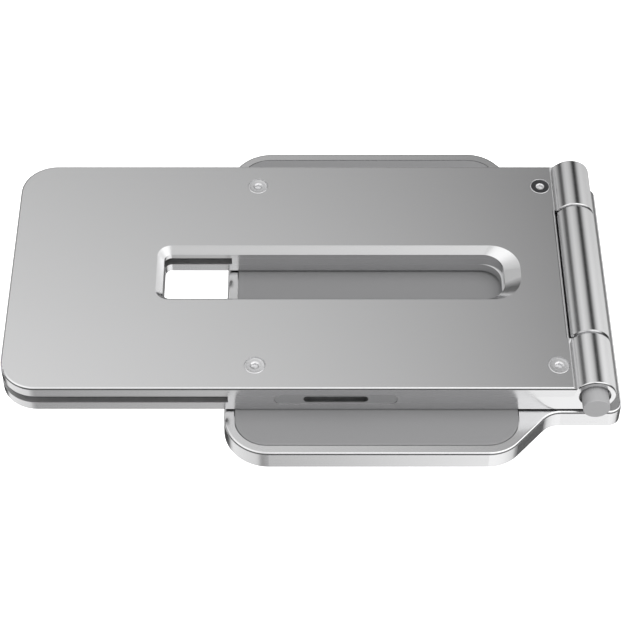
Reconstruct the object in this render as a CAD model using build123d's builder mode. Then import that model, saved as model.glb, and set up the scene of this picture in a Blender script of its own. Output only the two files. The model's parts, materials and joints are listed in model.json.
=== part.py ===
from build123d import *
import os
from math import cos, radians, sin

# Folding aluminium laptop stand, folded flat. Millimetres.
# +X runs along the stand towards its hinge, -Y is the side of the release button, +Z is up.
# The origin is under the middle of the whole stand, on the surface that it stands on.

# ---- whole stand ----
LENGTH = 250.2  # from the arm's free end to the base's end behind the hinge
X_FREE = -LENGTH / 2
X_BACK = LENGTH / 2

# ---- heights ----
FOOT_PROUD = 1.0  # how far the rubber feet stand below the base
BASE_THICK = 9.0
BASE_TO_ARM = 0.8  # air between the base and the folded arm
LOWER_THICK = 4.5
PLATE_GAP = 3.9  # between the arm's two plates, and the thickness of its core
UPPER_THICK = 5.0
Z_BASE = FOOT_PROUD
Z_BASE_TOP = Z_BASE + BASE_THICK
Z_ARM = Z_BASE_TOP + BASE_TO_ARM
Z_CORE = Z_ARM + LOWER_THICK
Z_UPPER = Z_CORE + PLATE_GAP
Z_TOP = Z_UPPER + UPPER_THICK

# ---- hinge ----
BARREL_R = 8.6
HINGE_X = X_BACK - 12.2
HINGE_Z = Z_ARM + BARREL_R  # the barrel's underside is level with the arm's
CUT_PAST = 1.0  # how far a cutter runs on past what it cuts
HINGE = Axis((HINGE_X, 0, HINGE_Z), (0, 1, 0))
FOLD_ANGLE = 120.0
RELIEF_R = 9.0  # concave end of the arm round the base's knuckle
RELIEF_EDGE_R = 1.25
ARM_HALF = 61.33  # half the arm's width, and half the hinge's length
MIDDLE_HALF = 34.5  # half the base's knuckle
SEAM = 0.7  # between one knuckle and the next, which a washer fills
OUTER_IN = MIDDLE_HALF + SEAM  # where the arm's knuckles begin
OUTER_SPANS = ((-ARM_HALF, -OUTER_IN), (OUTER_IN, ARM_HALF))
KNUCKLE_CHAMFER = 0.5
KNUCKLE_RIM_R = 0.7
RIM_START = 146.0  # where the top plate meets the barrel, as an angle above +X
RIM_ARC = 236.0  # from there over the top and down to the barrel's underside

# ---- parts on the hinge's axis: radii, then places along Y ----
SPINDLE_R = 5.9
SPINDLE_BORE_R = 3.5
PRESS_CLEAR = 0.01
BORE_R = 5.96  # running fit on the spindle
WELL_R = 6.45  # wider mouth of the bore, round the button
WELL_DEPTH = 2.5
BUSH_R = 6.75
BUSH_NEAR_LENGTH = 10.0
BUSH_FAR_LENGTH = 4.5
ROD_R = 2.5
ROD_SUNK = 0.1  # how far the rod ends inside the cone's back
CONE_SMALL_R = SPINDLE_BORE_R
CONE_BIG_R = 5.3
CONE_LENGTH = 3.7
CONE_AIR = 0.2  # running gap along the axis between the cone and its seat
CONE_RIM = 0.4
SPINDLE_NEAR = -48.5
SPINDLE_FAR = 48.7
CONE_BACK = 51.5
KEY_R = 7.2
KEY_WIDTH = 2.4
KEY_AIR = 0.1
KEY_WAY_START = CONE_BACK - 3.0
BUTTON_R = 5.4
BUTTON_OUT = 6.5  # how far the button stands out of the barrel
BUTTON_FLANGE_R = 5.88
BUTTON_FLANGE = 3.5
BUTTON_INNER = -53.0
BUTTON_EDGE_R = 0.5
ROD_START = BUTTON_INNER - 7.0
PLUG_DEPTH = 1.7
PLUG_SUNK = 0.1
PLUG_HEAD_R = 7.4
PLUG_CHAMFER = 0.4
PLUG_HEX_R = 2.9
PLUG_HEX_DEPTH = 1.1
WASHER_AIR = 0.05
WASHER_R = (6.0, 7.0)
SPRING_R = 4.2
SPRING_WIRE_R = 0.45
SPRING_TURNS = 3.5
SPRING_AIR = 0.1
STOP_PIN_R = 1.0
STOP_PIN_Y = 43.3
STOP_PIN_OUT = 7.0  # from the hinge's axis to the pin's outer and inner end
STOP_PIN_IN = 3.8
STOP_GROOVE_IN_R = 5.5
STOP_GROOVE_R = 7.25
STOP_GROOVE_HALF = 1.2
STOP_PIN_ANGLE = 10.8  # half the angle that the pin fills in its groove

# ---- arm ----
ARM_END = HINGE_X - 8.0
ARM_CORNER_R = 15.0
PLATE_AIR = 0.02  # between the top plate and the knuckles that it reaches
END_SLOPE = (  # bevel of the top plate's end beside the arm's knuckles, as (x, z)
    (HINGE_X - 8.9, Z_TOP),
    (HINGE_X - 6.4, Z_TOP - 1.1),
    (HINGE_X - 6.4, Z_TOP + 1.0),
    (HINGE_X - 8.9, Z_TOP + 1.0),
)
TOP_EDGE_R = 1.0
BOTTOM_EDGE_R = 0.3
TOP_PLATE_END = HINGE_X - 5.0
CORE_LEFT = -33.5  # the gap between the plates ends here
BLOCK_LEFT = 88.2  # the bottom plate meets the core's thick hinge block here
SLOT_LEFT = -64.55
SLOT_RIGHT = 87.3
SLOT_HALF = 14.9
SLOT_LEFT_R = 5.8
SLOT_RIGHT_R = 12.4
SLOT_CHAMFER = 2.8
SLOT_LOWER_CHAMFER = 0.6
RAMP = 6.6  # how wide the chamfer grows into a ramp at the slot's end towards the hinge
NARROW_RIGHT_R = 8.6
LOWER_SLOT_STEP = 0.6  # how much sooner the slot ends in the bottom plate
SCREW_X = (-22.85, 99.1)
SCREW_Y = 49.3
BOTTOM_SCREW_X = 78.2
BOTTOM_SCREW_Y = (24.0, 49.3)

# ---- inlaid slot in the arm's near side ----
BEZEL_X = 9.6
BEZEL_LENGTH = 49.2
BEZEL_HEIGHT = 6.0
BEZEL_DEPTH = 1.6
BEZEL_RECESS = 0.15
BEZEL_AIR = 0.1
SIDE_SLOT_LENGTH = 26.0
SIDE_SLOT_HEIGHT = 3.5
SIDE_SLOT_DEPTH = 16.0
SIDE_SLOT_ROOM = 2.0  # how much longer the space behind the slot is
Z_BEZEL = (Z_CORE + Z_UPPER) / 2

# ---- base ----
BASE_LEFT = -35.3
WIDE_HALF = 82.8
NARROW_HALF = 62.4
SHOULDER_LEFT = 77.2  # where the wide edges' lines meet the shoulders
SHOULDER_RIGHT = 96.0
BASE_CORNER_R = 18.2
BASE_TOP_R = 1.0
BASE_BOTTOM_CHAMFER = 0.3
SHOULDER_R = 16.0
WAIST_R = 9.6
BACK_CORNER_R = 5.5
PAD_LEFT = -30.9
PAD_RIGHT = 82.9
PAD_HALF = 78.5
PAD_CORNER_R = 13.0
PAD_POCKET = 1.5
PAD_PROUD = 0.3
PAD_AIR = 0.3
PAD_EDGE_R = 0.25
BRACKET_LEFT = 99.7
BRACKET_RIGHT = 121.4
BRACKET_FOOT = 4.0
BRACKET_AIR = 0.05
NECK_LEFT = HINGE_X - 5.0
BRACKET_SCREW_X = (103.8, 115.6)
BRACKET_SCREW_Y = 28.0
FOOT_R = 9.0
FOOT_THICK = 2.0
FOOT_AIR = 0.1
FOOT_CHAMFER = 0.3
FOOT_PLACES = ((-20.0, -68.0), (-20.0, 68.0), (111.0, -49.0), (111.0, 49.0))

# ---- screws ----
M4 = {"shank": 2.0, "head": 4.3, "hex": 1.44, "hex_depth": 1.5}
M3 = {"shank": 1.5, "head": 3.0, "hex": 1.15, "hex_depth": 1.0}
HEAD_RIM = 0.25  # straight rim of a head above its 90 degree cone
SCREW_TIP = 0.4
HOLE_AIR = 0.05
HEAD_SUNK = 0.15
SCREW_END_AIR = 0.2
TOP_SCREW_FLOOR = Z_TOP - 12.2  # bottoms of the threaded holes
BOTTOM_SCREW_FLOOR = Z_ARM + 7.7
BRACKET_SCREW_FLOOR = Z_BASE + 8.6


def along_y(y):
    """A sketch plane across the hinge's axis at y: its x is the stand's X and its y is Z."""
    return Plane.XZ.offset(-y)


def turning_plane(angle=0.0):
    """A plane through the hinge's axis: its x is the radius and its y runs along the hinge."""
    turn = radians(angle)
    return Plane(
        origin=(HINGE_X, 0, HINGE_Z),
        x_dir=(cos(turn), 0, sin(turn)),
        z_dir=(-sin(turn), 0, cos(turn)),
    )


def save(piece, name):
    piece.part.label = name
    export_step(piece.part, "parts/" + name + ".step")


def turned(profile):
    """A piece turned about the hinge's axis from (radius, y) points."""
    with BuildPart() as piece:
        with BuildSketch(turning_plane()):
            with BuildLine():
                Polyline(*profile, close=True)
            make_face()
        revolve(axis=HINGE)
    return piece


def ring(inner, outer, y_low, y_high):
    return turned([(inner, y_low), (outer, y_low), (outer, y_high), (inner, y_high)])


def hinge_rod(radius, y_low, y_high):
    """A round bar about the hinge's axis, for cutting a bore."""
    with BuildPart() as tool:
        with BuildSketch(along_y(y_high)):
            with Locations((HINGE_X, HINGE_Z)):
                Circle(radius)
        extrude(amount=y_high - y_low)
    return tool.part


def screw(size, x, y, z_head, z_tip):
    """A countersunk screw with a hexagon socket: its head's flat face is at z_head."""
    up = 1 if z_head > z_tip else -1
    cone = size["head"] - size["shank"]
    length = abs(z_head - z_tip)
    profile = [
        (0, 0),
        (size["head"] - HOLE_AIR, 0),
        (size["head"] - HOLE_AIR, -HEAD_RIM),
        (size["shank"] - HOLE_AIR, -HEAD_RIM - cone),
        (size["shank"] - HOLE_AIR, -length + SCREW_TIP),
        (size["shank"] - HOLE_AIR - SCREW_TIP, -length),
        (0, -length),
    ]
    head = Plane(origin=(x, y, z_head), x_dir=(1, 0, 0), z_dir=(0, -up, 0))
    with BuildPart() as piece:
        with BuildSketch(head):
            with BuildLine():
                Polyline(*profile, close=True)
            make_face()
        revolve(axis=Axis((x, y, 0), (0, 0, 1)))
        with BuildSketch(Plane(origin=(x, y, z_head), x_dir=(1, 0, 0), z_dir=(0, 0, up))):
            RegularPolygon(size["hex"], 6)
        extrude(amount=-size["hex_depth"], mode=Mode.SUBTRACT)
    return piece


def countersinks(size, places, z_face, z_deep):
    """Cutters for countersunk holes, from the outer face at z_face inwards to z_deep."""
    up = 1 if z_face > z_deep else -1
    rim = HEAD_RIM + HEAD_SUNK
    cone = size["head"] - size["shank"]
    depth = abs(z_face - z_deep)
    profile = [
        (0, 0),
        (size["head"], 0),
        (size["head"], -rim),
        (size["shank"], -rim - cone),
        (size["shank"], -depth),
        (0, -depth),
    ]
    with BuildPart() as tool:
        with BuildSketch(Plane(origin=(0, 0, z_face), x_dir=(1, 0, 0), z_dir=(0, -up, 0))):
            with BuildLine():
                Polyline(*profile, close=True)
            make_face()
        revolve(axis=Axis.Z)
    cutter = tool.part
    with BuildPart() as tools:
        with Locations(*places):
            add(cutter)
    return tools.part


def arm_outline(z, x_right):
    """The arm's outline at height z up to x_right, with its two rounded corners."""
    with BuildSketch(Plane.XY.offset(z)) as outline:
        with BuildLine():
            FilletPolyline(
                (x_right, -ARM_HALF),
                (X_FREE, -ARM_HALF),
                (X_FREE, ARM_HALF),
                (x_right, ARM_HALF),
                radius=ARM_CORNER_R,
            )
            Line((x_right, ARM_HALF), (x_right, -ARM_HALF))
        make_face()
    return outline.sketch


def slot_outline(x_left, x_right, half, left_r, right_r):
    """A slot's outline with one corner radius at its left end and one at its right."""
    with BuildSketch() as outline:
        with BuildLine():
            FilletPolyline(
                (x_left, 0),
                (x_left, -half),
                (x_right, -half),
                (x_right, 0),
                radius=(left_r, right_r),
            )
            Line((x_right, 0), (x_left, 0))
        make_face()
        mirror(about=Plane.XZ)
    return outline.sketch


def narrow_slot(step=0.0):
    """The long slot's outline below its chamfer: step is how much sooner it ends at the hinge."""
    return slot_outline(
        SLOT_LEFT + SLOT_CHAMFER,
        SLOT_RIGHT - RAMP - step,
        SLOT_HALF - SLOT_CHAMFER,
        SLOT_LEFT_R - SLOT_CHAMFER,
        NARROW_RIGHT_R,
    )


def long_slot(z_low, z_high, step=0.0):
    """A cutter for the arm's long slot, at its narrow size, between two heights."""
    with BuildPart() as tool:
        extrude(Pos(0, 0, z_low) * narrow_slot(step), amount=z_high - z_low)
    return tool.part


def slot_flare():
    """A cutter for the slot's 45 degree chamfer, which widens into a ramp at its hinge end."""
    with BuildPart() as tool:
        with BuildSketch(Plane.XY.offset(Z_TOP)):
            add(slot_outline(SLOT_LEFT, SLOT_RIGHT, SLOT_HALF, SLOT_LEFT_R, SLOT_RIGHT_R))
        with BuildSketch(Plane.XY.offset(Z_TOP - SLOT_CHAMFER)):
            add(narrow_slot())
        loft(ruled=True)
    return tool.part


def knuckle_rim(y_end, into):
    """A cutter that rounds a knuckle's rim at y_end: into is 1 if the knuckle is on its +Y side."""
    with BuildPart() as tool:
        with BuildSketch(turning_plane(RIM_START)):
            with Locations((BARREL_R, y_end)):
                Rectangle(2 * KNUCKLE_RIM_R, 2 * KNUCKLE_RIM_R)
            with Locations((BARREL_R - KNUCKLE_RIM_R, y_end + into * KNUCKLE_RIM_R)):
                Circle(KNUCKLE_RIM_R, mode=Mode.SUBTRACT)
        revolve(axis=HINGE, revolution_arc=RIM_ARC)
    return tool.part


def bezel_pocket():
    """A cutter for the pill-shaped pocket of the inlay in the arm's near side."""
    with BuildPart() as tool:
        with BuildSketch(along_y(-ARM_HALF + BEZEL_DEPTH + BEZEL_RECESS)):
            with Locations((BEZEL_X, Z_BEZEL)):
                SlotOverall(BEZEL_LENGTH, BEZEL_HEIGHT)
        extrude(amount=2 * BEZEL_DEPTH)
    return tool.part


def is_relief(edge):
    """True for an edge at the arm's end that faces the base's knuckle."""
    centre = edge.center()
    return centre.X > ARM_END and abs(centre.Y) < OUTER_IN


def is_outer(edge):
    """True for an edge of the arm's sides and free end, not one at its hinge end."""
    centre = edge.center()
    return abs(centre.Y) > ARM_HALF - ARM_CORNER_R or centre.X < X_FREE + ARM_CORNER_R


os.makedirs("parts", exist_ok=True)

# ==== arm: top plate ====
# It reaches the arm's own knuckles, and is cut back in a hollow round the base's knuckle.
top_screw_places = [(x, s * SCREW_Y) for x in SCREW_X for s in (-1, 1)]
with BuildPart() as arm_top_plate:
    extrude(arm_outline(Z_UPPER, TOP_PLATE_END), amount=UPPER_THICK)
    fillet(arm_top_plate.edges().group_by(Axis.Z)[-1].filter_by(is_outer), TOP_EDGE_R)
    add(hinge_rod(BARREL_R + PLATE_AIR, -ARM_HALF - CUT_PAST, ARM_HALF + CUT_PAST), mode=Mode.SUBTRACT)
    add(hinge_rod(RELIEF_R, -OUTER_IN, OUTER_IN), mode=Mode.SUBTRACT)
    relief_edge = arm_top_plate.edges().group_by(Axis.Z)[-1].filter_by(Axis.Y).filter_by(is_relief)
    fillet(relief_edge, RELIEF_EDGE_R)
    for y_low, y_high in OUTER_SPANS:
        with BuildSketch(along_y(y_high)):
            with BuildLine():
                Polyline(*END_SLOPE, close=True)
            make_face()
        extrude(amount=y_high - y_low, mode=Mode.SUBTRACT)
    add(long_slot(Z_UPPER, Z_TOP), mode=Mode.SUBTRACT)
    add(slot_flare(), mode=Mode.SUBTRACT)
    add(countersinks(M4, top_screw_places, Z_TOP, Z_UPPER), mode=Mode.SUBTRACT)
    add(bezel_pocket(), mode=Mode.SUBTRACT)
save(arm_top_plate, "arm_top_plate")

# ==== arm: bottom plate ====
bottom_screw_places = [(BOTTOM_SCREW_X, s * y) for y in BOTTOM_SCREW_Y for s in (-1, 1)]
with BuildPart() as arm_bottom_plate:
    extrude(arm_outline(Z_ARM, BLOCK_LEFT), amount=LOWER_THICK)
    fillet(arm_bottom_plate.edges().group_by(Axis.Z)[0].filter_by(is_outer), BOTTOM_EDGE_R)
    add(long_slot(Z_ARM, Z_CORE, LOWER_SLOT_STEP), mode=Mode.SUBTRACT)
    slot_rim = arm_bottom_plate.faces().sort_by(Axis.Z)[0].inner_wires()[0].edges()
    chamfer(slot_rim, SLOT_LOWER_CHAMFER)
    add(countersinks(M3, bottom_screw_places, Z_ARM, Z_CORE), mode=Mode.SUBTRACT)
    with BuildSketch(Plane.XY.offset(Z_CORE)):
        with Locations((SCREW_X[0], SCREW_Y), (SCREW_X[0], -SCREW_Y)):
            Circle(M4["shank"])
    extrude(amount=TOP_SCREW_FLOOR - Z_CORE, mode=Mode.SUBTRACT)
    add(bezel_pocket(), mode=Mode.SUBTRACT)
save(arm_bottom_plate, "arm_bottom_plate")

# ==== arm: core with the two outer knuckles ====
# The core is a thin spacer that thickens into a block at the hinge and ends in two knuckles.
with BuildPart() as arm_core:
    with BuildSketch(Plane.XY.offset(Z_CORE)):
        with Locations(((CORE_LEFT + ARM_END) / 2, 0)):
            Rectangle(ARM_END - CORE_LEFT, 2 * ARM_HALF)
    extrude(amount=PLATE_GAP)
    with BuildSketch(Plane.XY.offset(Z_ARM)):
        with Locations(((BLOCK_LEFT + ARM_END) / 2, 0)):
            Rectangle(ARM_END - BLOCK_LEFT, 2 * ARM_HALF)
    extrude(amount=LOWER_THICK)
    for y_low, y_high in OUTER_SPANS:
        with BuildSketch(Plane.XY.offset(Z_ARM)):
            with Locations(((ARM_END + HINGE_X) / 2, (y_low + y_high) / 2)):
                Rectangle(HINGE_X - ARM_END, y_high - y_low)
        extrude(amount=LOWER_THICK + PLATE_GAP)
    block_side = arm_core.edges().filter_by(Axis.X).group_by(Axis.Z)[0].filter_by(is_outer)
    fillet(block_side, BOTTOM_EDGE_R)
    add(hinge_rod(RELIEF_R, -OUTER_IN, OUTER_IN), mode=Mode.SUBTRACT)
    for y_low, y_high in OUTER_SPANS:
        with BuildSketch(along_y(y_high)):
            with Locations((HINGE_X, HINGE_Z)):
                Circle(BARREL_R)
        extrude(amount=y_high - y_low)
        add(knuckle_rim(y_low, 1), mode=Mode.SUBTRACT)
        add(knuckle_rim(y_high, -1), mode=Mode.SUBTRACT)
    add(long_slot(Z_ARM, Z_UPPER), mode=Mode.SUBTRACT)
    add(bezel_pocket(), mode=Mode.SUBTRACT)
    with BuildSketch(Plane.XY.offset(Z_CORE)):
        with Locations((BEZEL_X, -ARM_HALF + SIDE_SLOT_DEPTH / 2)):
            Rectangle(SIDE_SLOT_LENGTH + SIDE_SLOT_ROOM, SIDE_SLOT_DEPTH)
    extrude(amount=PLATE_GAP, mode=Mode.SUBTRACT)
    with BuildSketch(Plane.XY.offset(Z_UPPER)):
        with Locations(*top_screw_places):
            Circle(M4["shank"])
    extrude(amount=TOP_SCREW_FLOOR - Z_UPPER, mode=Mode.SUBTRACT)
    with BuildSketch(Plane.XY.offset(Z_CORE)):
        with Locations(*bottom_screw_places):
            Circle(M3["shank"])
    extrude(amount=BOTTOM_SCREW_FLOOR - Z_CORE, mode=Mode.SUBTRACT)
    add(hinge_rod(BORE_R, -ARM_HALF, ARM_HALF), mode=Mode.SUBTRACT)
    add(hinge_rod(WELL_R, -ARM_HALF, -ARM_HALF + WELL_DEPTH), mode=Mode.SUBTRACT)
    bush_seat_r = BUSH_R + PRESS_CLEAR
    add(hinge_rod(bush_seat_r, -OUTER_IN - BUSH_NEAR_LENGTH, -OUTER_IN), mode=Mode.SUBTRACT)
    add(hinge_rod(bush_seat_r, OUTER_IN, OUTER_IN + BUSH_FAR_LENGTH), mode=Mode.SUBTRACT)
    add(hinge_rod(PLUG_HEAD_R + HOLE_AIR, ARM_HALF - PLUG_DEPTH, ARM_HALF), mode=Mode.SUBTRACT)
    # key ways for the clutch cone, above and below the axis
    with BuildSketch(along_y(ARM_HALF)):
        with Locations((HINGE_X, HINGE_Z)):
            Rectangle(KEY_WIDTH + 2 * KEY_AIR, 2 * (KEY_R + KEY_AIR))
    extrude(amount=ARM_HALF - KEY_WAY_START, mode=Mode.SUBTRACT)
    # arc groove that the stop pin runs in
    with BuildSketch(turning_plane(FOLD_ANGLE - 90 + STOP_PIN_ANGLE)):
        with Locations(((STOP_GROOVE_IN_R + STOP_GROOVE_R) / 2, STOP_PIN_Y)):
            Rectangle(STOP_GROOVE_R - STOP_GROOVE_IN_R, 2 * STOP_GROOVE_HALF)
    revolve(axis=HINGE, revolution_arc=FOLD_ANGLE + 2 * STOP_PIN_ANGLE, mode=Mode.SUBTRACT)
save(arm_core, "arm_core")

# ==== arm: inlay of the side slot ====
with BuildPart() as side_slot_bezel:
    with BuildSketch(along_y(-ARM_HALF + BEZEL_DEPTH + BEZEL_RECESS)):
        with Locations((BEZEL_X, Z_BEZEL)):
            SlotOverall(BEZEL_LENGTH - 2 * BEZEL_AIR, BEZEL_HEIGHT - 2 * BEZEL_AIR)
            SlotOverall(SIDE_SLOT_LENGTH, SIDE_SLOT_HEIGHT, mode=Mode.SUBTRACT)
    extrude(amount=BEZEL_DEPTH)
save(side_slot_bezel, "side_slot_bezel")

# ==== arm: screws ====
for number, (x, y) in enumerate(top_screw_places, 1):
    piece = screw(M4, x, y, Z_TOP - HEAD_SUNK, TOP_SCREW_FLOOR + SCREW_END_AIR)
    save(piece, f"arm_screw_{number}")
for number, (x, y) in enumerate(bottom_screw_places, 1):
    piece = screw(M3, x, y, Z_ARM + HEAD_SUNK, BOTTOM_SCREW_FLOOR - SCREW_END_AIR)
    save(piece, f"bottom_plate_screw_{number}")

# ==== arm: bushes, washers and end plug ====
bush_near = ring(BORE_R, BUSH_R, -OUTER_IN - BUSH_NEAR_LENGTH, -OUTER_IN)
save(bush_near, "bush_near")
bush_far = ring(BORE_R, BUSH_R, OUTER_IN, OUTER_IN + BUSH_FAR_LENGTH)
save(bush_far, "bush_far")
washer_near = ring(*WASHER_R, -OUTER_IN + WASHER_AIR, -MIDDLE_HALF - WASHER_AIR)
save(washer_near, "thrust_washer_near")
washer_far = ring(*WASHER_R, MIDDLE_HALF + WASHER_AIR, OUTER_IN - WASHER_AIR)
save(washer_far, "thrust_washer_far")
with BuildPart() as end_plug:
    with BuildSketch(along_y(ARM_HALF - PLUG_SUNK)):
        with Locations((HINGE_X, HINGE_Z)):
            Circle(PLUG_HEAD_R)
    extrude(amount=PLUG_DEPTH - PLUG_SUNK)
    plug_rim = end_plug.edges().sort_by(Axis.Y)[-1]
    chamfer(plug_rim, PLUG_CHAMFER)
    with BuildSketch(along_y(ARM_HALF - PLUG_SUNK)):
        with Locations((HINGE_X, HINGE_Z)):
            RegularPolygon(PLUG_HEX_R, 6)
    extrude(amount=PLUG_HEX_DEPTH, mode=Mode.SUBTRACT)
save(end_plug, "end_plug")

# ==== base plate ====
with BuildPart() as base_plate:
    with BuildSketch(Plane.XY.offset(Z_BASE)):
        with BuildLine():
            FilletPolyline(
                (BASE_LEFT, 0),
                (BASE_LEFT, -WIDE_HALF),
                (SHOULDER_LEFT, -WIDE_HALF),
                (SHOULDER_RIGHT, -NARROW_HALF),
                (X_BACK, -NARROW_HALF),
                (X_BACK, 0),
                radius=(BASE_CORNER_R, SHOULDER_R, WAIST_R, BACK_CORNER_R),
            )
            Line((X_BACK, 0), (BASE_LEFT, 0))
        make_face()
        mirror(about=Plane.XZ)
    extrude(amount=BASE_THICK)
    fillet(base_plate.faces().sort_by(Axis.Z)[-1].edges(), BASE_TOP_R)
    chamfer(base_plate.faces().sort_by(Axis.Z)[0].edges(), BASE_BOTTOM_CHAMFER)
    with BuildSketch(Plane.XY.offset(Z_BASE_TOP)):
        with Locations(((PAD_LEFT + PAD_RIGHT) / 2, 0)):
            RectangleRounded(
                PAD_RIGHT - PAD_LEFT + 2 * PAD_AIR,
                2 * (PAD_HALF + PAD_AIR),
                PAD_CORNER_R + PAD_AIR,
            )
    extrude(amount=-PAD_POCKET, mode=Mode.SUBTRACT)
    with BuildSketch(Plane.XY.offset(Z_BASE_TOP)):
        with Locations(((BRACKET_LEFT + BRACKET_RIGHT) / 2, 0)):
            Rectangle(
                BRACKET_RIGHT - BRACKET_LEFT + 2 * BRACKET_AIR,
                2 * (MIDDLE_HALF + BRACKET_AIR),
            )
    extrude(amount=-BRACKET_FOOT, mode=Mode.SUBTRACT)
    bracket_screw_places = [(x, s * BRACKET_SCREW_Y) for x in BRACKET_SCREW_X for s in (-1, 1)]
    bracket_holes = countersinks(M4, bracket_screw_places, Z_BASE, Z_BASE_TOP - BRACKET_FOOT)
    add(bracket_holes, mode=Mode.SUBTRACT)
    with BuildSketch(Plane.XY.offset(Z_BASE)):
        with Locations(*FOOT_PLACES):
            Circle(FOOT_R + FOOT_AIR)
    extrude(amount=FOOT_THICK - FOOT_PROUD, mode=Mode.SUBTRACT)
save(base_plate, "base_plate")

# ==== base pad ====
with BuildPart() as base_pad:
    with BuildSketch(Plane.XY.offset(Z_BASE_TOP - PAD_POCKET)):
        with Locations(((PAD_LEFT + PAD_RIGHT) / 2, 0)):
            RectangleRounded(PAD_RIGHT - PAD_LEFT, 2 * PAD_HALF, PAD_CORNER_R)
    extrude(amount=PAD_POCKET + PAD_PROUD)
    fillet(base_pad.faces().sort_by(Axis.Z)[-1].edges(), PAD_EDGE_R)
save(base_pad, "base_pad")

# ==== hinge bracket: middle knuckle, neck and foot ====
with BuildPart() as hinge_bracket:
    with BuildSketch(along_y(MIDDLE_HALF)):
        with Locations((HINGE_X, HINGE_Z)):
            Circle(BARREL_R)
    extrude(amount=2 * MIDDLE_HALF)
    knuckle_ends = hinge_bracket.edges().filter_by(GeomType.CIRCLE)
    chamfer(knuckle_ends, KNUCKLE_CHAMFER)
    neck_half = MIDDLE_HALF - KNUCKLE_CHAMFER
    with BuildSketch(along_y(neck_half)):
        with Locations(((NECK_LEFT + HINGE_X + BARREL_R) / 2, (Z_BASE_TOP + HINGE_Z) / 2)):
            Rectangle(HINGE_X + BARREL_R - NECK_LEFT, HINGE_Z - Z_BASE_TOP)
    extrude(amount=2 * neck_half)
    with BuildSketch(Plane.XY.offset(Z_BASE_TOP - BRACKET_FOOT)):
        with Locations(((BRACKET_LEFT + BRACKET_RIGHT) / 2, 0)):
            Rectangle(BRACKET_RIGHT - BRACKET_LEFT, 2 * MIDDLE_HALF)
    extrude(amount=BRACKET_FOOT)
    with BuildSketch(Plane.XY.offset(Z_BASE_TOP - BRACKET_FOOT)):
        with Locations(*bracket_screw_places):
            Circle(M4["shank"])
    extrude(amount=BRACKET_SCREW_FLOOR - Z_BASE_TOP + BRACKET_FOOT, mode=Mode.SUBTRACT)
    add(hinge_rod(SPINDLE_R + PRESS_CLEAR, -MIDDLE_HALF, MIDDLE_HALF), mode=Mode.SUBTRACT)
save(hinge_bracket, "hinge_bracket")

for number, (x, y) in enumerate(bracket_screw_places, 1):
    piece = screw(M4, x, y, Z_BASE + HEAD_SUNK, BRACKET_SCREW_FLOOR - SCREW_END_AIR)
    save(piece, f"bracket_screw_{number}")

# ==== rubber feet ====
for number, place in enumerate(FOOT_PLACES, 1):
    with BuildPart() as foot:
        with BuildSketch(Plane.XY):
            with Locations(place):
                Circle(FOOT_R)
        extrude(amount=FOOT_THICK)
        chamfer(foot.edges().sort_by(Axis.Z)[0], FOOT_CHAMFER)
    save(foot, f"foot_{number}")

# ==== spindle, with the clutch's conical seat in its far end ====
seat_start = SPINDLE_FAR - CONE_LENGTH
spindle = turned(
    [
        (SPINDLE_BORE_R, SPINDLE_NEAR),
        (SPINDLE_R, SPINDLE_NEAR),
        (SPINDLE_R, SPINDLE_FAR),
        (CONE_BIG_R, SPINDLE_FAR),
        (CONE_SMALL_R, seat_start),
    ]
)
with BuildPart() as hinge_spindle:
    add(spindle.part)
    with BuildSketch(Plane.XY.offset(HINGE_Z)):
        with Locations((HINGE_X, STOP_PIN_Y)):
            Circle(STOP_PIN_R + PRESS_CLEAR)
    extrude(amount=-SPINDLE_R - CUT_PAST, mode=Mode.SUBTRACT)
save(hinge_spindle, "hinge_spindle")

with BuildPart() as stop_pin:
    with BuildSketch(Plane.XY.offset(HINGE_Z - STOP_PIN_OUT)):
        with Locations((HINGE_X, STOP_PIN_Y)):
            Circle(STOP_PIN_R)
    extrude(amount=STOP_PIN_OUT - STOP_PIN_IN)
save(stop_pin, "stop_pin")

# ==== release button, push rod, clutch cone and spring ====
BUTTON_FACE = -ARM_HALF - BUTTON_OUT
with BuildPart() as release_button:
    with BuildSketch(turning_plane()):
        with BuildLine():
            Polyline(
                (0, BUTTON_FACE),
                (BUTTON_R, BUTTON_FACE),
                (BUTTON_R, BUTTON_INNER - BUTTON_FLANGE),
                (BUTTON_FLANGE_R, BUTTON_INNER - BUTTON_FLANGE),
                (BUTTON_FLANGE_R, BUTTON_INNER),
                (0, BUTTON_INNER),
                close=True,
            )
        make_face()
    revolve(axis=HINGE)
    fillet(release_button.edges().sort_by(Axis.Y)[0], BUTTON_EDGE_R)
    add(hinge_rod(ROD_R + PRESS_CLEAR, ROD_START, BUTTON_INNER), mode=Mode.SUBTRACT)
save(release_button, "release_button")

push_rod = ring(0, ROD_R, ROD_START, CONE_BACK - ROD_SUNK)
save(push_rod, "push_rod")

cone_start = seat_start + CONE_AIR
cone_end = SPINDLE_FAR + CONE_AIR
flange_start = cone_end + CONE_RIM
with BuildPart() as clutch_cone:
    with BuildSketch(turning_plane()):
        with BuildLine():
            Polyline(
                (0, cone_start),
                (CONE_SMALL_R, cone_start),
                (CONE_BIG_R, cone_end),
                (CONE_BIG_R, flange_start),
                (BUTTON_FLANGE_R, flange_start),
                (BUTTON_FLANGE_R, CONE_BACK),
                (0, CONE_BACK),
                close=True,
            )
        make_face()
    revolve(axis=HINGE)
    with BuildSketch(along_y(CONE_BACK)):
        with Locations((HINGE_X, HINGE_Z)):
            Rectangle(KEY_WIDTH, 2 * KEY_R)
    extrude(amount=CONE_BACK - flange_start)
    add(hinge_rod(ROD_R + PRESS_CLEAR, cone_start, CONE_BACK), mode=Mode.SUBTRACT)
save(clutch_cone, "clutch_cone")

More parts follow.
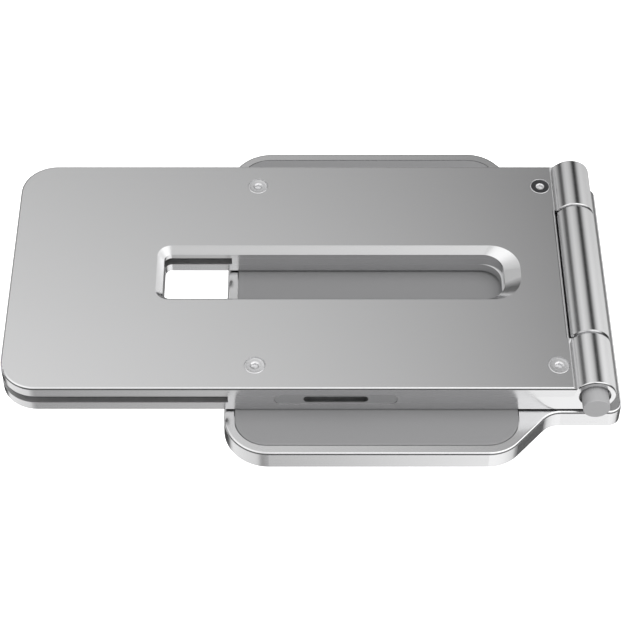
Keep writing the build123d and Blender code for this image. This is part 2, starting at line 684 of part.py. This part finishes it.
spring_start = CONE_BACK + SPRING_WIRE_R + SPRING_AIR
spring_end = ARM_HALF - PLUG_DEPTH - SPRING_WIRE_R - SPRING_AIR
spring_length = spring_end - spring_start
with BuildPart() as return_spring:
    with BuildLine() as coil:
        Helix(
            spring_length / SPRING_TURNS,
            spring_length,
            SPRING_R,
            center=(HINGE_X, spring_start, HINGE_Z),
            direction=(0, 1, 0),
        )
    with BuildSketch(Plane(origin=coil.line @ 0, z_dir=coil.line % 0)):
        Circle(SPRING_WIRE_R)
    sweep(is_frenet=True)
save(return_spring, "return_spring")
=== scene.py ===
import json
import math

import bmesh
import bpy
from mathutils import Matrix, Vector


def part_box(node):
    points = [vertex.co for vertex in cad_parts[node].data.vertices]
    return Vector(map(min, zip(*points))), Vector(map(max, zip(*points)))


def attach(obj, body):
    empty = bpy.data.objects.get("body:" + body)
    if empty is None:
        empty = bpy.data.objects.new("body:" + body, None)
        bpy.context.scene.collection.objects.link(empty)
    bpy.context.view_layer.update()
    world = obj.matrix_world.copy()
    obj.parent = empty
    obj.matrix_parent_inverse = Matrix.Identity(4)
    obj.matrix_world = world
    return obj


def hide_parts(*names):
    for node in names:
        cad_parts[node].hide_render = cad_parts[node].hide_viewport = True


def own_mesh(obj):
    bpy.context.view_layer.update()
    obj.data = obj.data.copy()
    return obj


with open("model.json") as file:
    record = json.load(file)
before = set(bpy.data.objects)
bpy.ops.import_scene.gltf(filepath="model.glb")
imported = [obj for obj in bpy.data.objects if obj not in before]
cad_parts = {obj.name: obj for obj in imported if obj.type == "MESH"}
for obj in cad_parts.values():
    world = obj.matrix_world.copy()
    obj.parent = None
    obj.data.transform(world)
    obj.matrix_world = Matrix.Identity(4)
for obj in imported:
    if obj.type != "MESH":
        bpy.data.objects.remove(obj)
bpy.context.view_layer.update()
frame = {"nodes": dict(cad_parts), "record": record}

# ---------------------------------------------------------------- places, read from the frame
MM = 0.001
TOP_LOW, TOP_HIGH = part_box("arm_top_plate")
BOTTOM_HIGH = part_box("arm_bottom_plate")[1]
SCREWS = [f"arm_screw_{number}" for number in range(1, 5)]
FEET = [f"foot_{number}" for number in range(1, 5)]
FAR_RIGHT_SCREW = max(SCREWS, key=lambda name: sum(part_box(name)[0][:2]))
SCREW_PLACES = [((low + high) / 2)[:2] for low, high in map(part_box, SCREWS)]
GAP_MARGIN = 0.03 * MM
GAP_HEIGHTS = (BOTTOM_HIGH.z - GAP_MARGIN, TOP_LOW.z + GAP_MARGIN)


# ---------------------------------------------------------------- node helpers
def material(name):
    """A new material, its node tree and its Principled shader."""
    made = bpy.data.materials.new(name)
    made.use_nodes = True
    tree = made.node_tree
    return made, tree, tree.nodes["Principled BSDF"]


def node(tree, kind, **settings):
    """A new node with its settings."""
    made = tree.nodes.new(kind)
    for key, value in settings.items():
        setattr(made, key, value)
    return made


def feed(tree, socket, value):
    """Links the value to the socket if it is another socket, or else sets it there."""
    if isinstance(value, bpy.types.NodeSocket):
        tree.links.new(value, socket)
    else:
        socket.default_value = value


def math_node(tree, operation, *values):
    """The result of a math operation on one or two sockets or numbers."""
    made = node(tree, "ShaderNodeMath", operation=operation)
    for socket, value in zip(made.inputs, values):
        feed(tree, socket, value)
    return made.outputs[0]


def remap(tree, value, low, high, to_low, to_high):
    """The value moved from the range low to high into the range to_low to to_high, and held in it."""
    made = node(tree, "ShaderNodeMapRange")
    tree.links.new(value, made.inputs["Value"])
    made.inputs["From Min"].default_value = low
    made.inputs["From Max"].default_value = high
    made.inputs["To Min"].default_value = to_low
    made.inputs["To Max"].default_value = to_high
    return made.outputs["Result"]


def blend_values(tree, factor, first, second):
    """The first value where factor is 0 and the second where it is 1."""
    made = node(tree, "ShaderNodeMix", data_type="FLOAT")
    tree.links.new(factor, made.inputs["Factor"])
    feed(tree, made.inputs["A"], first)
    feed(tree, made.inputs["B"], second)
    return made.outputs["Result"]


def between(tree, value, low, high):
    """1 where value is from low to high, else 0."""
    above = math_node(tree, "GREATER_THAN", value, low)
    below = math_node(tree, "LESS_THAN", value, high)
    return math_node(tree, "MULTIPLY", above, below)


def noise(tree, scale, stretch=(1, 1, 1), detail=3.0, roughness=0.5):
    """Noise in the object's own metres, squeezed by stretch along each axis."""
    coordinates = node(tree, "ShaderNodeTexCoord")
    mapping = node(tree, "ShaderNodeMapping")
    mapping.inputs["Scale"].default_value = stretch
    texture = node(tree, "ShaderNodeTexNoise")
    texture.inputs["Scale"].default_value = scale
    texture.inputs["Detail"].default_value = detail
    texture.inputs["Roughness"].default_value = roughness
    tree.links.new(coordinates.outputs["Object"], mapping.inputs["Vector"])
    tree.links.new(mapping.outputs["Vector"], texture.inputs["Vector"])
    return texture.outputs["Fac"]


def bump(tree, shader, height, strength, distance):
    """Makes the height tilt the shader's normal."""
    made = node(tree, "ShaderNodeBump")
    made.inputs["Strength"].default_value = strength
    made.inputs["Distance"].default_value = distance
    tree.links.new(height, made.inputs["Height"])
    tree.links.new(made.outputs["Normal"], shader.inputs["Normal"])


def colour_between(tree, shader, factor, colour, shade):
    """The colour where factor is 1, and shade times as bright where it is 0."""
    mix = node(tree, "ShaderNodeMix", data_type="RGBA")
    mix.inputs["A"].default_value = (*(channel * shade for channel in colour), 1)
    mix.inputs["B"].default_value = (*colour, 1)
    tree.links.new(factor, mix.inputs["Factor"])
    tree.links.new(mix.outputs["Result"], shader.inputs["Base Color"])


def rough_between(tree, shader, factor, rough, spread):
    """A roughness that the factor moves by up to spread either way."""
    roughness = remap(tree, factor, 0.3, 0.7, rough - spread, rough + spread)
    tree.links.new(roughness, shader.inputs["Roughness"])


# ---------------------------------------------------------------- materials
LINE_SHADE = 0.955          # the dark lines' brightness beside the light ones
LINE_ROUGHNESS = 0.02       # how far the lines move the roughness either way
LINE_BUMP = 0.2
CLOUD_SCALE = 11.0          # soft patches about 90 mm across
CLOUD_ROUGHNESS = 0.015
BLASTED_ROUGHNESS = 0.2     # what bead blasting adds to the roughness
BLASTED_METALLIC = 0.95


def metal(name, colour, rough, stretch, depth, blasted=None):
    """Metal with fine tool lines: stretch is small along the lines and large across them.

    Faces at heights within blasted are bead blasted, not polished, so they are dull.
    """
    made, tree, shader = material(name)
    shader.inputs["Metallic"].default_value = 1.0
    lines = noise(tree, 1.0, stretch, detail=4.0, roughness=0.6)
    clouds = noise(tree, CLOUD_SCALE, detail=2.0)
    colour_between(tree, shader, lines, colour, LINE_SHADE)
    cloudy = remap(tree, clouds, 0.3, 0.7, rough - CLOUD_ROUGHNESS, rough + CLOUD_ROUGHNESS)
    fine = remap(tree, lines, 0.25, 0.75, -LINE_ROUGHNESS, LINE_ROUGHNESS)
    roughness = math_node(tree, "ADD", cloudy, fine)
    if blasted:
        coordinates = node(tree, "ShaderNodeTexCoord")
        parts = node(tree, "ShaderNodeSeparateXYZ")
        tree.links.new(coordinates.outputs["Object"], parts.inputs[0])
        inside = between(tree, parts.outputs["Z"], *blasted)
        added = math_node(tree, "MULTIPLY", inside, BLASTED_ROUGHNESS)
        roughness = math_node(tree, "ADD", roughness, added)
        metallic = remap(tree, inside, 0, 1, 1.0, BLASTED_METALLIC)
        tree.links.new(metallic, shader.inputs["Metallic"])
    tree.links.new(roughness, shader.inputs["Roughness"])
    bump(tree, shader, lines, LINE_BUMP, depth)
    return made


RING_PITCH = 0.32 * MM
RING_HEIGHT = 0.5           # the rings' height beside the grain's
FACE_METALLIC = 0.85
FACE_SHADE = 0.78
FACE_ROUGHNESS = 0.06
FACE_BUMP = 0.5


def turned_face(name, colour, rough, depth):
    """Metal with the rings of a lathe round the upright axis of each arm screw."""
    made, tree, shader = material(name)
    shader.inputs["Metallic"].default_value = FACE_METALLIC
    coordinates = node(tree, "ShaderNodeTexCoord")
    radii = []
    for place in SCREW_PLACES:
        flat = node(tree, "ShaderNodeVectorMath", operation="MULTIPLY_ADD")
        flat.inputs[1].default_value = (1, 1, 0)
        flat.inputs[2].default_value = (-place[0], -place[1], 0)
        tree.links.new(coordinates.outputs["Object"], flat.inputs[0])
        length = node(tree, "ShaderNodeVectorMath", operation="LENGTH")
        tree.links.new(flat.outputs[0], length.inputs[0])
        radii.append(length.outputs["Value"])
    nearest = radii[0]
    for radius in radii[1:]:
        nearest = math_node(tree, "MINIMUM", nearest, radius)
    grain = noise(tree, 2200.0, detail=3.0, roughness=0.7)
    angle = math_node(tree, "MULTIPLY", nearest, 2 * math.pi / RING_PITCH)
    rings = math_node(tree, "SINE", math_node(tree, "ADD", angle, grain))
    height = math_node(tree, "ADD", remap(tree, rings, -1, 1, 0, RING_HEIGHT), grain)
    colour_between(tree, shader, grain, colour, FACE_SHADE)
    rough_between(tree, shader, grain, rough, FACE_ROUGHNESS)
    bump(tree, shader, height, FACE_BUMP, depth)
    return made


MOULD_CLOUD_SCALE = 24.0    # soft patches about 40 mm across
MOULD_ROUGHNESS = 0.05
MOULD_BUMP = 0.4


def moulded(name, colour, rough, grain, depth, shade=0.9):
    """Silicone, rubber or plastic with a fine moulded grain."""
    made, tree, shader = material(name)
    fine = noise(tree, grain, detail=3.0, roughness=0.6)
    clouds = noise(tree, MOULD_CLOUD_SCALE, detail=2.0)
    colour_between(tree, shader, clouds, colour, shade)
    rough_between(tree, shader, fine, rough, MOULD_ROUGHNESS)
    bump(tree, shader, fine, MOULD_BUMP, depth)
    return made


ALONG_X = (5, 950, 950)
ROUND_Y = (40, 1900, 40)
ALUMINIUM = (0.80, 0.80, 0.805)
# a darker colour for the far right arm screw's face, on the same kind of turned metal as the other screws
DARK_SCREW_FACE = turned_face("screw_face_dark", (0.10, 0.10, 0.105), 0.34, 5e-5)
BEZEL_METAL = metal("bezel_metal", (0.70, 0.70, 0.705), 0.3, ALONG_X, 2e-6)
MATERIALS = {
    "brushed_aluminium": metal("brushed_aluminium", ALUMINIUM, 0.21, ALONG_X, 5e-6, GAP_HEIGHTS),
    "satin_barrel": metal("satin_barrel", ALUMINIUM, 0.18, ROUND_Y, 3e-6),
    "screw_steel": turned_face("screw_steel", (0.86, 0.86, 0.87), 0.3, 3e-5),
    "hinge_steel": metal("hinge_steel", (0.78, 0.78, 0.79), 0.18, ROUND_Y, 1e-6),
    "clutch_brass": metal("clutch_brass", (0.78, 0.60, 0.30), 0.25, ROUND_Y, 2e-6),
    "bush_polymer": moulded("bush_polymer", (0.80, 0.79, 0.74), 0.5, 1800, 1e-5),
    "pad_silicone": moulded("pad_silicone", (0.262, 0.262, 0.266), 0.66, 2600, 1.5e-5, 0.97),
    "foot_rubber": moulded("foot_rubber", (0.03, 0.03, 0.032), 0.7, 2200, 2e-5),
    "button_polymer": moulded("button_polymer", (0.40, 0.40, 0.405), 0.5, 2400, 1e-5),
}


def dress_frame():
    """Gives each CAD node the material of its slot in the record, and the side inlay its own."""
    for entry in frame["record"]["subparts"]:
        target = frame["nodes"][entry["node"]]
        target.data.materials.clear()
        target.data.materials.append(MATERIALS[entry["material_slot"]])
    frame["nodes"]["side_slot_bezel"].data.materials[0] = BEZEL_METAL


# ---------------------------------------------------------------- shapes
SHARP_EDGE = math.radians(35)


def finish_piece(name, mesh, body, slot, stands_for):
    """Makes the mesh an object in its material that rides on body in place of a CAD node."""
    mesh.normal_update()
    data = bpy.data.meshes.new(name)
    mesh.to_mesh(data)
    mesh.free()
    made = bpy.data.objects.new(name, data)
    bpy.context.scene.collection.objects.link(made)
    for face in data.polygons:
        face.use_smooth = True
    edges = made.modifiers.new("edges", "EDGE_SPLIT")
    edges.split_angle = SHARP_EDGE
    data.materials.append(MATERIALS[slot])
    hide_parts(stands_for)
    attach(made, body)
    return made


def skinned(rings):
    """A mesh through closed rings of points, all with as many points, and capped at both ends."""
    mesh = bmesh.new()
    loops = [[mesh.verts.new(point) for point in ring] for ring in rings]
    for first, second in zip(loops, loops[1:]):
        for i in range(len(first)):
            j = (i + 1) % len(first)
            mesh.faces.new((first[i], first[j], second[j], second[i]))
    mesh.faces.new(list(reversed(loops[0])))
    mesh.faces.new(loops[-1])
    return mesh


def circle(centre, radius, z, count=96):
    """A level circle's outline."""
    turns = [2 * math.pi * i / count for i in range(count)]
    return [(centre.x + radius * math.cos(t), centre.y + radius * math.sin(t), z) for t in turns]


def hexagon(centre, apothem, z, count=96):
    """A level hexagon's outline, sampled at the same angles as a circle of count points."""
    points = []
    for i in range(count):
        turn = 2 * math.pi * i / count
        radius = apothem / math.cos((turn + math.pi / 6) % (math.pi / 3) - math.pi / 6)
        points.append((centre.x + radius * math.cos(turn), centre.y + radius * math.sin(turn), z))
    return points


def rounded_box(low, high, inset, radius, z, steps=14):
    """A level rounded rectangle's outline, drawn in by inset from the box's sides."""
    radius -= inset
    corners = [
        (high.x - inset - radius, high.y - inset - radius, 0),
        (low.x + inset + radius, high.y - inset - radius, 90),
        (low.x + inset + radius, low.y + inset + radius, 180),
        (high.x - inset - radius, low.y + inset + radius, 270),
    ]
    points = []
    for x, y, start in corners:
        for step in range(steps + 1):
            turn = math.radians(start + 90 * step / steps)
            points.append((x + radius * math.cos(turn), y + radius * math.sin(turn), z))
    return points


# ---------------------------------------------------------------- arm screws
SCREW_SHANK = 0.459         # the shank's radius, as a share of the head's
SCREW_SOCKET = 0.30         # half the socket's width, as a share of the head's radius
SCREW_END = 0.4 * MM        # the chamfer at the shank's end
HEAD_EDGE = 0.25            # mm from the top down to where the cone starts
SOCKET_STEPS = [(0.2, 1.62), (1.0, 1.35), (1.0, 0.30)]      # share of the socket, mm down
LIP_STEPS = [(1.42, 0.07), (1.60, 0.02), (1.80, 0.02)]      # share of the socket, mm down
RIM_STEPS = [(0.75, 0.05), (0.60, 0.02), (0.38, 0.0), (0.10, 0.14), (0.0, HEAD_EDGE)]   # mm in, mm down
DARK_FROM = 0.44            # the dark ring's inner radius, as a share of the head's
DARK_INSET = 0.38 * MM      # how far the dark ring stays inside the head's edge
DARK_DEPTH = 0.1 * MM       # faces further below the head's top stay bright


def countersunk_screw(name, body, stands_for):
    """A countersunk screw with a chamfered socket, a dished face and a chamfered rim."""
    low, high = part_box(stands_for)
    centre = (low + high) / 2
    head = (high.x - low.x) / 2
    shank = SCREW_SHANK * head
    socket = SCREW_SOCKET * head
    rings = [hexagon(centre, share * socket, high.z - down * MM) for share, down in SOCKET_STEPS]
    rings += [circle(centre, share * socket, high.z - down * MM) for share, down in LIP_STEPS]
    rings += [circle(centre, head - inset * MM, high.z - down * MM) for inset, down in RIM_STEPS]
    rings += [
        circle(centre, shank, high.z - HEAD_EDGE * MM - (head - shank)),
        circle(centre, shank, low.z + SCREW_END),
        circle(centre, shank - SCREW_END, low.z),
    ]
    return finish_piece(name, skinned(rings), body, "screw_steel", stands_for)


def darken_face(screw, stands_for):
    """Gives the flat ring of a screw's head a dark colour, and leaves its socket and rim bright."""
    low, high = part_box(stands_for)
    centre = (low + high) / 2
    head = (high.x - low.x) / 2
    screw.data.materials.append(DARK_SCREW_FACE)
    for face in screw.data.polygons:
        radius = (face.center - centre).xy.length
        if DARK_FROM * head < radius < head - DARK_INSET and face.center.z > high.z - DARK_DEPTH:
            face.material_index = 1


def arm_screws():
    """The four arm screws. The far right one has a dark face."""
    for screw_node in SCREWS:
        made = countersunk_screw(screw_node + "_detailed", "arm", screw_node)
        if screw_node == FAR_RIGHT_SCREW:
            darken_face(made, screw_node)


# ---------------------------------------------------------------- silicone pad
PAD_CORNER = 13 * MM
PAD_LIP = 0.45 * MM         # the radius of the rounding round the top
PAD_LIP_STEPS = 6
PAD_UNDERCUT = 0.15 * MM    # the chamfer round the underside
PAD_STEP = [(1.2, 0.0), (1.6, 0.04), (2.1, 0.06), (2.8, 0.06)]    # mm in, mm down


def silicone_pad():
    """The pad with its rounded lip and, just inside it, a step down to a faintly lower middle."""
    low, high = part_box("base_pad")
    rings = [
        rounded_box(low, high, PAD_UNDERCUT, PAD_CORNER, low.z),
        rounded_box(low, high, 0, PAD_CORNER, low.z + PAD_UNDERCUT),
    ]
    for step in range(PAD_LIP_STEPS + 1):
        turn = math.radians(90 * step / PAD_LIP_STEPS)
        inset = PAD_LIP * (1 - math.cos(turn))
        drop = PAD_LIP * (1 - math.sin(turn))
        rings.append(rounded_box(low, high, inset, PAD_CORNER, high.z - drop))
    for inset, down in PAD_STEP:
        rings.append(rounded_box(low, high, inset * MM, PAD_CORNER, high.z - down * MM))
    finish_piece("silicone_pad", skinned(rings), "base", "pad_silicone", "base_pad")


# ---------------------------------------------------------------- rubber feet
FOOT_RADIUS = 9.0           # the radius that FOOT_STEPS is written for
FOOT_STEPS = [              # radius in mm, mm up from the underside
    (0.5, 0.00), (2.2, 0.00), (2.5, 0.25), (3.3, 0.25), (3.6, 0.00), (5.2, 0.00), (5.5, 0.25),
    (6.3, 0.25), (6.6, 0.00), (8.3, 0.00), (8.7, 0.10), (8.93, 0.35), (9.0, 0.6), (9.0, 2.0),
]


def rubber_foot(name, stands_for):
    """A moulded foot: a rounded rim, two shallow ring grooves and a flat middle underneath."""
    low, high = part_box(stands_for)
    centre = (low + high) / 2
    scale = (high.x - low.x) / 2 / FOOT_RADIUS
    mesh = skinned([circle(centre, radius * scale, low.z + up * MM) for radius, up in FOOT_STEPS])
    bmesh.ops.recalc_face_normals(mesh, faces=mesh.faces)
    finish_piece(name, mesh, "base", "foot_rubber", stands_for)


# ---------------------------------------------------------------- return spring
COIL_WIRE = 0.45 * MM       # the wire's radius
COIL_TURNS = 3.5
COIL_STEPS = 160
WIRE_SIDES = 16


def coil_spring(name, body, stands_for):
    """The button's return spring, wound round the hinge's axis, built at the length of its CAD node."""
    low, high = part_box(stands_for)
    centre = (low + high) / 2
    radius = (high.x - low.x) / 2 - COIL_WIRE
    length = high.y - low.y
    along = Vector((0, 1, 0))
    rings = []
    for step in range(COIL_STEPS + 1):
        turn = 2 * math.pi * COIL_TURNS * step / COIL_STEPS
        outward = Vector((math.cos(turn), 0, math.sin(turn)))
        y = low.y + COIL_WIRE + (length - 2 * COIL_WIRE) * step / COIL_STEPS
        middle = Vector((centre.x, y, centre.z)) + radius * outward
        angles = [2 * math.pi * side / WIRE_SIDES for side in range(WIRE_SIDES)]
        rings.append([middle + COIL_WIRE * (math.cos(a) * outward + math.sin(a) * along) for a in angles])
    mesh = skinned(rings)
    bmesh.ops.recalc_face_normals(mesh, faces=mesh.faces)
    made = finish_piece(name, mesh, body, "hinge_steel", stands_for)
    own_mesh(made)


# ---------------------------------------------------------------- studio
# Brightness tables: each stop is (place, brightness). round_y is the angle about +Y from straight
# up towards +X, and round_z is the angle about +Z from the front (-Y) towards -X, in degrees. The
# other places are parts of the unit direction.
BRIGHTEST = 2.0             # what the top of a curve node stands for
EVEN_LIGHT = 0.62           # what unpolished surfaces receive from every side
SIDE_RAISE = 0.3            # how far the front's bright band drops towards the sides
FRONT_TO_BACK = (0.05, 0.42)        # over which y the front's light gives way to the back's
SKY_TO_BELOW = (-0.67, -0.71)       # over which z the sky gives way to the light from below
BACK_ROUND_Y = [
    (-180, 0.5), (-100, 0.60), (-87, 0.60), (-74, 0.38), (-63, 0.10), (-51, 0.10), (-42, 0.55),
    (-24, 0.80), (-10, 0.72), (0, 0.60), (8, 0.42), (13, 0.18), (18, 0.03), (29, 0.03), (36, 0.30),
    (46, 0.66), (60, 0.86), (90, 0.74), (120, 0.75), (180, 0.5),
]
BACK_FALL = [
    (0.4, 1.28), (0.58, 1.26), (0.613, 1.15), (0.656, 1.0), (0.68, 0.88), (0.72, 0.74), (0.8, 0.3),
    (0.88, 0.3), (0.95, 1.0), (1.0, 1.0),
]
FRONT_HEIGHT = [
    (-1.0, 0.32), (-0.34, 0.32), (-0.12, 0.03), (0.3, 0.03), (0.46, 0.10), (0.58, 0.74),
    (0.72, 0.80), (0.86, 1.2), (1.0, 1.2),
]
FRONT_SIDEWAYS = [
    (-1.0, 1.15), (-0.3, 1.0), (-0.12, 0.8), (-0.04, 0.88), (0.0, 0.95), (0.08, 1.02),
    (0.18, 1.35), (1.0, 1.35),
]
BELOW_ROUND_Z = [
    (-180, 0.2), (-166, 0.05), (-158, 0.08), (-150, 0.9), (-143, 0.9), (-138, 0.08), (-97, 0.08),
    (-88, 0.85), (-50, 1.15), (-14, 1.25), (-8, 1.08), (-5, 0.92), (-1, 0.67), (2, 0.58), (7, 0.52),
    (11, 0.44), (14, 0.34), (20, 0.34), (30, 0.85), (112, 1.0), (121, 0.15), (126, 0.03), (152, 0.03),
    (165, 0.2), (180, 0.2),
]
BELOW_HEIGHT = [(-1.0, 0.25), (-0.93, 0.35), (-0.84, 1.0), (0.0, 1.0)]


def curve(tree, value, stops):
    """The brightness at the value's place among the stops, in straight lines between them."""
    low, high = stops[0][0], stops[-1][0]
    positions = [((place - low) / (high - low), bright / BRIGHTEST) for place, bright in stops]
    made = node(tree, "ShaderNodeFloatCurve")
    points = made.mapping.curves[0].points
    points[0].location = positions[0]
    for position in positions[1:-1]:
        points.new(*position)
    points[-1].location = positions[-1]
    for point in points:
        point.handle_type = "VECTOR"
    made.mapping.update()
    tree.links.new(remap(tree, value, low, high, 0.0, 1.0), made.inputs["Value"])
    return math_node(tree, "MULTIPLY", made.outputs["Value"], BRIGHTEST)


def studio_world():
    """Soft boxes and dark flags round the stand, as brightness over the direction.

    Only mirrored rays see them. Unpolished surfaces get an even light, and the camera sees white.
    """
    world = bpy.data.worlds.new("studio")
    bpy.context.scene.world = world
    world.use_nodes = True
    tree = world.node_tree
    direction = node(tree, "ShaderNodeTexCoord").outputs["Generated"]
    parts = node(tree, "ShaderNodeSeparateXYZ")
    tree.links.new(direction, parts.inputs[0])
    x, y, z = parts.outputs
    round_y = math_node(tree, "DEGREES", math_node(tree, "ARCTAN2", x, z))
    minus_x = math_node(tree, "MULTIPLY", x, -1.0)
    minus_y = math_node(tree, "MULTIPLY", y, -1.0)
    round_z = math_node(tree, "DEGREES", math_node(tree, "ARCTAN2", minus_x, minus_y))
    back_light = curve(tree, round_y, BACK_ROUND_Y)
    back = math_node(tree, "MULTIPLY", back_light, curve(tree, y, BACK_FALL))
    raised = math_node(tree, "MULTIPLY", math_node(tree, "ABSOLUTE", x), SIDE_RAISE)
    front_light = curve(tree, math_node(tree, "ADD", z, raised), FRONT_HEIGHT)
    front = math_node(tree, "MULTIPLY", front_light, curve(tree, x, FRONT_SIDEWAYS))
    below_light = curve(tree, round_z, BELOW_ROUND_Z)
    below = math_node(tree, "MULTIPLY", below_light, curve(tree, z, BELOW_HEIGHT))
    sky = blend_values(tree, remap(tree, y, *FRONT_TO_BACK, 0.0, 1.0), front, back)
    bright = blend_values(tree, remap(tree, z, *SKY_TO_BELOW, 0.0, 1.0), sky, below)
    rays = node(tree, "ShaderNodeLightPath").outputs
    plain = blend_values(tree, rays["Is Diffuse Ray"], 1.0, EVEN_LIGHT)
    shown = blend_values(tree, rays["Is Glossy Ray"], plain, bright)
    tree.links.new(shown, tree.nodes["Background"].inputs["Color"])


FLOOR_REACH = 3.0
CORNERS = ((-1, -1), (1, -1), (1, 1), (-1, 1))


def studio_floor():
    """A plain white floor, evenly lit from within, that the metal doesn't mirror."""
    mesh = bmesh.new()
    mesh.faces.new([mesh.verts.new((x * FLOOR_REACH, y * FLOOR_REACH, 0)) for x, y in CORNERS])
    data = bpy.data.meshes.new("floor")
    mesh.to_mesh(data)
    mesh.free()
    floor = bpy.data.objects.new("floor", data)
    bpy.context.scene.collection.objects.link(floor)
    made, _, shader = material("floor_white")
    shader.inputs["Base Color"].default_value = (0.9, 0.9, 0.9, 1)
    shader.inputs["Roughness"].default_value = 1.0
    shader.inputs["Emission Color"].default_value = (1, 1, 1, 1)
    shader.inputs["Emission Strength"].default_value = 1.0
    data.materials.append(made)
    floor.visible_glossy = False
    floor.visible_diffuse = False
    floor.visible_shadow = False


def soft_light(name, place, size, power):
    """A rectangular light that points at the origin and doesn't show in the metal."""
    lamp = bpy.data.lights.new(name, "AREA")
    lamp.shape = "RECTANGLE"
    lamp.size, lamp.size_y = size
    lamp.energy = power
    made = bpy.data.objects.new(name, lamp)
    bpy.context.scene.collection.objects.link(made)
    made.location = place
    made.rotation_euler = (-Vector(place)).to_track_quat("-Z", "Y").to_euler()
    made.visible_glossy = False


CAMERA_PITCH = math.radians(49)
CAMERA_DISTANCE = 0.8379
CAMERA_AIM_X = -0.00443
CAMERA_LENS = 116.4
CAMERA_SENSOR = 36.0
CAMERA_SHIFT = (0.0166, -0.0625)
CAMERA_CLIP = 0.01


def photo_camera():
    """Looks down at the folded stand from its button side, 49 degrees above the floor."""
    camera = bpy.data.cameras.new("camera")
    made = bpy.data.objects.new("camera", camera)
    bpy.context.scene.collection.objects.link(made)
    back = Vector((0, -math.cos(CAMERA_PITCH), math.sin(CAMERA_PITCH)))
    made.location = Vector((CAMERA_AIM_X, 0.0, TOP_HIGH.z)) + CAMERA_DISTANCE * back
    made.rotation_euler = (math.pi / 2 - CAMERA_PITCH, 0, 0)
    camera.sensor_width = CAMERA_SENSOR
    camera.lens = CAMERA_LENS
    camera.shift_x, camera.shift_y = CAMERA_SHIFT
    camera.clip_start = CAMERA_CLIP
    bpy.context.scene.camera = made


# ---------------------------------------------------------------- the whole scene
dress_frame()
coil_spring("return_coil", "arm", "return_spring")
arm_screws()
silicone_pad()
for foot_node in FEET:
    rubber_foot(foot_node + "_moulded", foot_node)

studio_world()
studio_floor()
soft_light("top_box", place=(0.25, 0.1, 1.5), size=(1.3, 1.2), power=12.0)
soft_light("front_fill", place=(0.2, -1.3, 0.5), size=(0.8, 0.5), power=7.0)
photo_camera()
bpy.context.scene.view_settings.view_transform = "Standard"
